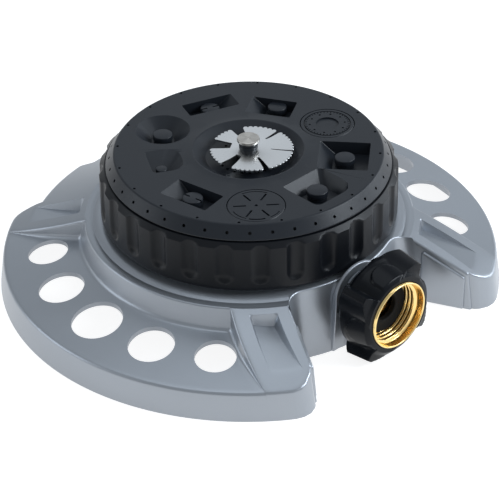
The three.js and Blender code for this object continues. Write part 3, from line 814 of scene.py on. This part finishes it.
def jet_cutters():
    """Two rows of fine jets round the edge, and the ring of holes on the bowl's floor."""
    bm = bmesh.new()
    bevel = Matrix.Rotation(math.atan2(TOP_Z - EDGE_Z, EDGE_R - FLAT_R), 4, "Y")
    jet_row(bm, BEVEL_JETS, BEVEL_JET_Z, bevel)
    jet_row(bm, TOP_JETS)
    jet_row(bm, BOWL_JETS)
    return bm


def dial_cover():
    """The dial's shell: bowl, flat top, bevel and wall, with its pockets and jets cut out."""
    crown, shoulder, flat, edge = (BOWL_R, CROWN_Z), (28.2, TOP_Z), (FLAT_R, TOP_Z), (EDGE_R, EDGE_Z)
    bowl_edge = (BOWL_FLOOR_R, BOWL_FLOOR_Z)
    outline = [(POST_HOLE_R, BOWL_FLOOR_Z), (BOWL_FLOOR_R - 0.8, BOWL_FLOOR_Z)]
    outline += [tuple(p) for p in fillet((5, BOWL_FLOOR_Z), bowl_edge, crown, 1.2, 5)]
    outline += [tuple(p) for p in fillet(bowl_edge, crown, shoulder, 0.9, 5)] + [shoulder]
    outline += [tuple(p) for p in fillet(shoulder, flat, edge, 1.2, 5)]
    outline += [tuple(p) for p in fillet(flat, edge, (EDGE_R, 50), 0.5, 4)]
    outline += [(EDGE_R, 56.5), (EDGE_R - 0.2, 56.3), (DIAL_WALL_R, 56.3), (DIAL_WALL_R, DIAL_UNDER_Z)]
    outline += [(58.2, DIAL_UNDER_Z), (58.2, 37.2), (57.9, 52.5), (24, 52.5), (24, 37.3), (POST_HOLE_R, 37.3)]
    cover = turned("dial_top", outline, 180)
    cut(cover, pocket_cutters(), solver="MANIFOLD")
    soften(cover, 0.26, 2, 28)
    cut(cover, jet_cutters(), solver="MANIFOLD")
    even_normals(cover)
    return cover


def grip_ring():
    """An upright wall with closed-ended flutes whose tops run out through the chamfer."""
    low, high = GRIP_LOW.z, GRIP_HIGH.z
    chamfer, chamfer_z = 2.2, 53.9
    half, depth, centre_z = 3.6, 1.5, 40.6
    inner_r = 60.75
    heights = [low, low + 0.5, low + 1.3, low + 2.2, 36.2]
    heights += list(np.linspace(36.8, 41, 9)) + [43, 46, 49, 51.5, 52.6, 53.4, 53.9]
    heights += [54.2, 54.6, 55.1, 55.5, high]
    columns = []
    per_flute = 22
    for k in range(FLUTES * per_flute):
        place = (k / per_flute + 0.5) % 1 - 0.5
        across = place * 2 * math.pi * GRIP_R / FLUTES
        angle = math.radians(STATION_PHASE) + 2 * math.pi * k / (FLUTES * per_flute)
        column = []
        for z in heights:
            wall = GRIP_R - 1.2 * max(0, (low + 1.3 - z) / 1.3) ** 2
            wall -= chamfer * max(0, (z - chamfer_z) / (high - chamfer_z))
            away = math.hypot(across, min(0, z - centre_z)) / half
            scoop = depth * max(0, 1 - away ** 2) ** 0.6
            column.append((min(wall, GRIP_R - scoop), z))
        column += [(inner_r, high), (inner_r, low)]
        columns.append([(r * math.cos(angle), r * math.sin(angle), z) for r, z in column])
    bm = bmesh.new()
    grid_into(bm, columns)
    return piece_from("grip_band", bm, 38.0)


def sunk_ring(bm, at, r0, r1, depth):
    revolve_into(bm, [(r0, -depth), (r1, -depth), (r1, 2), (r0, 2)], 64, at)


def sunk_slot(bm, at, r0, r1, width, deg, depth):
    place = at @ Matrix.Rotation(math.radians(deg), 4, "Z")
    half = width / 2
    prism_into(bm, [(r0, -half), (r1, -half), (r1, half), (r0, half)], -depth, 2, place)


def sunk_arc(bm, at, r0, r1, start, end, depth=0.5):
    place = at @ Matrix.Rotation(math.radians(start), 4, "Z")
    turns = np.radians(np.linspace(0, end - start, 13))
    outline = [(r1 * math.cos(a), r1 * math.sin(a)) for a in turns]
    outline += [(r0 * math.cos(a), r0 * math.sin(a)) for a in turns[::-1]]
    prism_into(bm, outline, -depth, 2, place)


def ring_marks(bm, at):
    """A fine ring, a sunk middle, 40 ticks and 10 dots."""
    sunk_ring(bm, at, 9.8, 10.35, 0.5)
    sunk_ring(bm, at, 0.02, 5.0, 0.6)
    for k in range(40):
        sunk_slot(bm, at, 8.95, 9.7, 0.45, k * 9, 0.45)
    for k in range(10):
        place = at @ Matrix.Rotation(math.radians(k * 36 + 8), 4, "Z")
        prism_into(bm, disc_outline(0.5, 10, (7.7, 0)), -0.7, 2, place)


def spoke_marks(bm, at):
    """Six short spokes inside broken arcs, and a dot in the middle."""
    for deg in (-150, -90, -30, 30, 90, 150):
        sunk_slot(bm, at, 4.2, 9.6, 0.85, deg, 0.8)
    sunk_arc(bm, at, 10.2, 11.0, -21, 17)
    for start, end in ((-69, -27), (29, 61), (150, 210)):
        sunk_arc(bm, at, 10.4, 10.85, start, end)
    prism_into(bm, disc_outline(0.7, 12), -0.6, 2, at)


def rose_plate(i):
    """A flush plate with its marks."""
    name, radius, _ = ROSES[i]
    at = rose_frame(i)
    plate = turned(name, [(0, -2.1), (radius, -2.1), (radius, -0.25), (radius - 0.25, 0), (0, 0)], 72, at)
    bm = bmesh.new()
    marks = ring_marks if name.startswith("ring") else spoke_marks
    marks(bm, at)
    cut(plate, bm)
    return plate


def jet_cap(i):
    """A round cap on a stem, standing on the pocket's floor."""
    name, radius, floor_z, shift = CAPS[i]
    at = at_station(i) @ Matrix.Translation((*shift, 0))
    top = CAP_TOP_Z
    outline = [(0, floor_z - 3), (1.25, floor_z - 3), (1.25, floor_z + 0.25), (radius - 0.35, floor_z + 0.25)]
    outline += [(radius - 0.35, floor_z + 1.6), (radius, floor_z + 2.0)]
    outline += [tuple(p) for p in fillet((radius, floor_z), (radius, top), (0, top), 0.45, 4)]
    outline += [(0, top)]
    cap = turned(name + "_cap", outline, 48, at)
    if name.startswith("slot"):
        bm = bmesh.new()
        across = at @ Matrix.Rotation(math.radians(90), 4, "Z")
        for side in (-1, 1):
            x0, x1 = sorted((side * (radius - 2.9), side * (radius + 1)))
            prism_into(bm, [(x0, -0.4), (x1, -0.4), (x1, 0.4), (x0, 0.4)], top - 1.3, top + 1, across)
        cut(cap, bm)
    return cap


# ---- Centre post --------------------------------------------------------

# Leaves of the deflector by their edges in degrees, and the gaps by the radius where each starts.
LEAVES = [(-163.2, -116.6), (-108.8, -53), (-50, 2.8), (8.2, 59.1), (76.9, 111), (136.5, 178.3)]
GAP_STARTS = [8.5, 8.7, 9.5, 12.0, 9.0, 8.0]
FAN_R = 18.1
FAN_HOLE_R = 3.3
FAN_RINGS = [FAN_HOLE_R, 4.4, 5.4, 6.6, 8.0, 8.5, 8.7, 9.0, 9.5, 12.0, 13.5, 15.5]
FAN_THICK = 0.8
FAN_CENTRE = (0.74, -1.3)


def fan_deflector():
    """A thin pressed disc cut into leaves with scalloped rims, slightly domed at its middle."""
    angles, rims, gaps = [], [], []
    for k, (start, end) in enumerate(LEAVES):
        scallops = max(4, round((end - start) / 7.0))
        for t in np.linspace(0, 1, scallops * 6 + 1):
            angles.append(start + (end - start) * t)
            rims.append(FAN_R - 1.0 + 1.0 * abs(math.sin(math.pi * scallops * t)) ** 0.5)
            gaps.append(GAP_STARTS[k] if t == 1 else None)
    bm = bmesh.new()
    columns = []
    for angle, rim in zip(angles, rims):
        a = math.radians(angle)
        column = []
        for r in FAN_RINGS + [rim - 0.15, rim]:
            z = FAN_UNDER_Z + FAN_THICK + 0.7 * math.exp(-(r / 7) ** 2) - (0.12 if r == rim else 0)
            shift = smooth_step((r - FAN_HOLE_R) / 8)
            x, y = shift * FAN_CENTRE[0], shift * FAN_CENTRE[1]
            column.append((x + r * math.cos(a), y + r * math.sin(a), z))
        columns.append(column)
    upper = [[bm.verts.new(p) for p in column] for column in columns]
    lower = [[bm.verts.new((x, y, z - FAN_THICK)) for x, y, z in column] for column in columns]
    count = len(columns)
    ring_ends = FAN_RINGS[1:] + [FAN_R, FAN_R]
    for k in range(count):
        ahead = (k + 1) % count
        for j, ring_end in enumerate(ring_ends):
            if gaps[k] is not None and ring_end > gaps[k] + 0.01:
                continue
            bm.faces.new((upper[k][j], upper[ahead][j], upper[ahead][j + 1], upper[k][j + 1]))
            bm.faces.new((lower[k][j], lower[k][j + 1], lower[ahead][j + 1], lower[ahead][j]))
    open_edges = [e for e in bm.edges if len(e.link_faces) == 1]
    partner = {}
    for top_column, low_column in zip(upper, lower):
        for a, b in zip(top_column, low_column):
            partner[a] = b
    for edge in open_edges:
        a, b = edge.verts
        if a in partner and b in partner:
            bm.faces.new((a, b, partner[b], partner[a]))
    return piece_from("fan_leaves", bm, 30.0)


def centre_bolt():
    """The shank and the turned head with its fine concentric marks."""
    outline = [(0, 4.5), (2.8, 4.5), (2.8, 66.8), (4.5, 66.85), (4.85, 67.1), (4.9, 67.3), (4.9, 68.0)]
    outline += [(4.75, 68.3), (4.3, 68.5)]
    for r in (3.6, 2.8, 2.0, 1.2):
        outline += [(r + 0.2, 68.5), (r, 68.42), (r - 0.2, 68.52)]
    outline += [(0, 68.55)]
    return turned("post_head", outline, 64)


def post_collar():
    """The black collar under the head, with a groove round it and a notch in its side."""
    sleeve = turned("post_sleeve", [
        (3.15, 63.7), (3.8, 63.7), (4.05, 63.95), (4.05, 65.1), (3.75, 65.3), (3.75, 65.6), (4.05, 65.8),
        (4.05, 66.4), (3.9, 66.6), (3.15, 66.6)], 56)
    bm = bmesh.new()
    notch = Matrix.Rotation(math.radians(-20), 4, "Z")
    prism_into(bm, [(3.0, -1.1), (6, -1.1), (6, 1.1), (3.0, 1.1)], 64.4, 67, notch)
    cut(sleeve, bm)
    return sleeve


# ---- Hose nut -----------------------------------------------------------

# Wings and thumb pads: the first wing's crest and the pads' turn from it in degrees, and the radii at
# which distances round the nut are measured.
WINGS = 4
WING_CREST = 50.7
WING_TIP_R = 24.5
WING_RAMP_R = 20.6
WING_R = 21.5
PAD_TURN = 46.5
PAD_R = 19.5


def wing_height(s, y, back, front):
    """Radius of a wing at s millimetres round from its crest: one steep flank and one long slope."""
    crest = WING_TIP_R - 1.3 * (y - back - 2.6) / 12.7
    rise = crest - max(0, -s - 1.1) * 3.2 - max(0, s - 1.1) * 0.5
    end = y - (front - 2.2)
    nose = crest - max(0, end) * 4.0
    ramp = WING_RAMP_R - max(0, end) * 1.4
    tail = 19.0 + 5.6 * math.sqrt(min(1, max(0, (y - back - 1.4) / 2.2)))
    return min(rise, tail, max(nose, ramp))


def swivel_nut():
    """A tapering barrel with four ratchet-shaped wings and four raised thumb pads."""
    back, front = -NUT_HIGH.y, -NUT_LOW.y
    insert_r, pocket_back = 15.35, back + 2.6
    barrel = [(back, 17.6), (back + 2.3, 19.8), (back + 2.8, 20.1), (back + 3.4, 20.2), (back + 5.5, 20.2),
              (front - 1.4, 18.0), (front - 0.5, 17.5), (front, 16.6)]
    stations = [back, back + 1.3] + list(np.linspace(back + 1.5, back + 3.8, 10)) + [back + 4.6]
    stations += list(np.linspace(back + 5.2, back + 8.5, 12)) + list(np.linspace(back + 9.2, front - 3.2, 8))
    stations += list(np.linspace(front - 2.9, front, 13))
    columns = []
    segments = 360
    pitch = 360 / WINGS
    for k in range(segments):
        deg = 360 * k / segments
        round_wing = math.radians((deg - WING_CREST + 30) % pitch - 30) * WING_R
        round_pad = math.radians((deg - WING_CREST - PAD_TURN + 45) % pitch - 45) * PAD_R
        column = []
        for y in stations:
            r = float(np.interp(y, [b[0] for b in barrel], [b[1] for b in barrel]))
            away = math.hypot(round_pad / 7.4, min(0, y - (back + 12.0)) / 5.6)
            r += 0.75 * smooth_step((1 - away) * 8) * smooth_step((front - 0.4 - y) * 1.2)
            column.append((soft_max(r, wing_height(round_wing, y, back, front), 0.7), y))
        column += [(insert_r, front), (insert_r, pocket_back), (9.0, pocket_back), (9.0, back)]
        a = math.radians(deg)
        columns.append([(r * math.cos(a), r * math.sin(a), y) for r, y in column])
    bm = bmesh.new()
    grid_into(bm, columns, place=inlet_frame())
    return piece_from("hose_nut_body", bm, 30.0)


def brass_insert():
    """A sleeve with a left-hand helical thread inside, a smooth lead-in and a thin polished lip."""
    back, front = -INSERT_HIGH.y, -INSERT_LOW.y
    outer_r, mouth_r, root_r, crest_r, pitch = 15.05, 14.35, 13.9, 12.6, 2.1
    segments = 96
    columns = []
    depths = list(np.linspace(back, front - 2.8, 90))
    for k in range(segments):
        turn = k / segments
        column = [(outer_r - 0.25, front), (outer_r, front - 0.25), (outer_r, back), (crest_r, back)]
        for y in depths[1:]:
            phase = (y / pitch + turn) % 1
            ridge = (0.5 - 0.5 * math.cos(2 * math.pi * phase)) ** 2.4
            fade = smooth_step((front - 2.9 - y) / 1.0)
            column.append((root_r - (root_r - crest_r) * ridge * fade, y))
        column += [(root_r + 0.1, front - 2.4), (mouth_r - 0.1, front - 0.5), (mouth_r, front - 0.15)]
        column += [(mouth_r + 0.15, front)]
        a = 2 * math.pi * turn
        columns.append([(r * math.cos(a), r * math.sin(a), y) for r, y in column])
    bm = bmesh.new()
    grid_into(bm, columns, place=inlet_frame())
    return piece_from("brass_thread", bm, 50.0)


def inlet_nipple():
    return turned("brass_nipple", [
        (5.2, 50), (7.4, 50), (7.4, 76.3), (11.2, 76.3), (11.4, 76.5), (11.4, 78.8), (11.2, 79), (5.2, 79)],
        56, inlet_frame())


def hose_washer():
    return turned("rubber_washer", [
        (6.0, 80.6), (11.2, 80.6), (11.4, 80.8), (11.4, 82.8), (11.2, 83.0), (6.3, 83.0), (6.0, 82.7)],
        56, inlet_frame())


# ---- Assembly -----------------------------------------------------------

def assemble():
    """Makes every piece, rides it on its body, and gives the CAD nodes still shown their materials."""
    casting = [base_casting(), inlet_boss_back(), inlet_boss(), inlet_neck()]
    casting += [notch_pad("left", -1), notch_pad("right", 1), screw_pillars()]
    for part in casting:
        finish(part, "base", "cast_body", "base_casting")
    finish(dial_cover(), "dial", "dark_plastic", "dial_cover")
    finish(grip_ring(), "dial", "grip_plastic", "grip_ring")
    for i in ROSES:
        finish(rose_plate(i), "dial", "dark_plastic", ROSES[i][0])
    for i in CAPS:
        finish(jet_cap(i), "dial", "dark_plastic", CAPS[i][0])
    finish(fan_deflector(), "base", "stainless", "fan_deflector")
    finish(centre_bolt(), "base", "nickel", "centre_bolt")
    finish(post_collar(), "base", "dark_plastic", "post_collar")
    finish(swivel_nut(), "hose_nut", "nut_plastic", "swivel_nut")
    finish(brass_insert(), "hose_nut", "brass", "brass_insert")
    finish(inlet_nipple(), "base", "brass", "inlet_nipple")
    finish(hose_washer(), "hose_nut", "seals", "hose_washer")
    slots = {part["node"]: part["material_slot"] for part in frame["record"]["subparts"]}
    for node, obj in frame["nodes"].items():
        obj.data.materials.clear()
        obj.data.materials.append(MATERIALS[slots[node]])


def floor():
    """A pale matt floor, just under the foot."""
    bpy.ops.mesh.primitive_plane_add(size=14, location=(0, 0, -0.0002))
    ground = bpy.context.object
    ground.name = "floor"
    material = bpy.data.materials.new("pale_floor")
    material.use_nodes = True
    shader = material.node_tree.nodes["Principled BSDF"]
    shader.inputs["Base Color"].default_value = (0.4, 0.4, 0.4, 1)
    shader.inputs["Roughness"].default_value = 0.9
    shader.inputs["Specular IOR Level"].default_value = 0
    shader.inputs["Emission Color"].default_value = (1, 1, 1, 1)
    shader.inputs["Emission Strength"].default_value = 0.85
    ground.data.materials.append(material)


def area_light(name, place, target, size, watts, shape=(1, 1), color=(0.86, 0.93, 1.0)):
    data = bpy.data.lights.new(name, "AREA")
    data.shape = "RECTANGLE"
    data.size, data.size_y = size * shape[0], size * shape[1]
    data.energy = watts
    data.color = color
    light = bpy.data.objects.new(name, data)
    bpy.context.collection.objects.link(light)
    light.location = place
    light.rotation_euler = (Vector(target) - Vector(place)).to_track_quat("-Z", "Y").to_euler()


def lights():
    world = bpy.data.worlds.new("studio")
    world.use_nodes = True
    world.node_tree.nodes["Background"].inputs["Color"].default_value = (0.9, 0.95, 1.0, 1)
    world.node_tree.nodes["Background"].inputs["Strength"].default_value = 0.46
    bpy.context.scene.world = world
    bpy.context.scene.view_settings.view_transform = "Standard"
    middle = (0, 0, 0.03)
    area_light("overhead", (0.1, 0.15, 1.05), middle, 0.7, 1.6)
    area_light("right_panel", (0.56, -0.72, 0.62), middle, 0.48, 7.5)
    area_light("side_panel", (0.95, -0.3, 0.36), middle, 0.5, 3)
    area_light("left_panel", (-0.75, 0.72, 0.4), middle, 0.6, 2)
    area_light("back_panel", (0.78, 0.84, 0.6), middle, 0.9, 0.8, (1.3, 0.6))


def camera():
    """Looks down on the hose side from 43 degrees to its left, with a slight roll."""
    azimuth, elevation, roll = (math.radians(v) for v in (-43.1, 34.163, -0.789))
    target = Vector((-9.79, -10.58, 20.0)) * MM
    distance = 1139.75 * MM
    level = math.cos(elevation)
    back = Vector((math.sin(azimuth) * level, -math.cos(azimuth) * level, math.sin(elevation)))
    right = Vector((math.cos(azimuth), math.sin(azimuth), 0))
    up = back.cross(right)
    tilted_right = right * math.cos(roll) + up * math.sin(roll)
    tilted_up = up * math.cos(roll) - right * math.sin(roll)
    data = bpy.data.cameras.new("camera")
    data.sensor_width = 36
    data.lens = 188.97
    data.clip_start, data.clip_end = 0.05, 20
    cam = bpy.data.objects.new("camera", data)
    bpy.context.collection.objects.link(cam)
    turn = Matrix((tilted_right, tilted_up, back)).transposed().to_4x4()
    cam.matrix_world = Matrix.Translation(target + back * distance) @ turn
    bpy.context.scene.camera = cam


camera()
lights()
floor()
assemble()
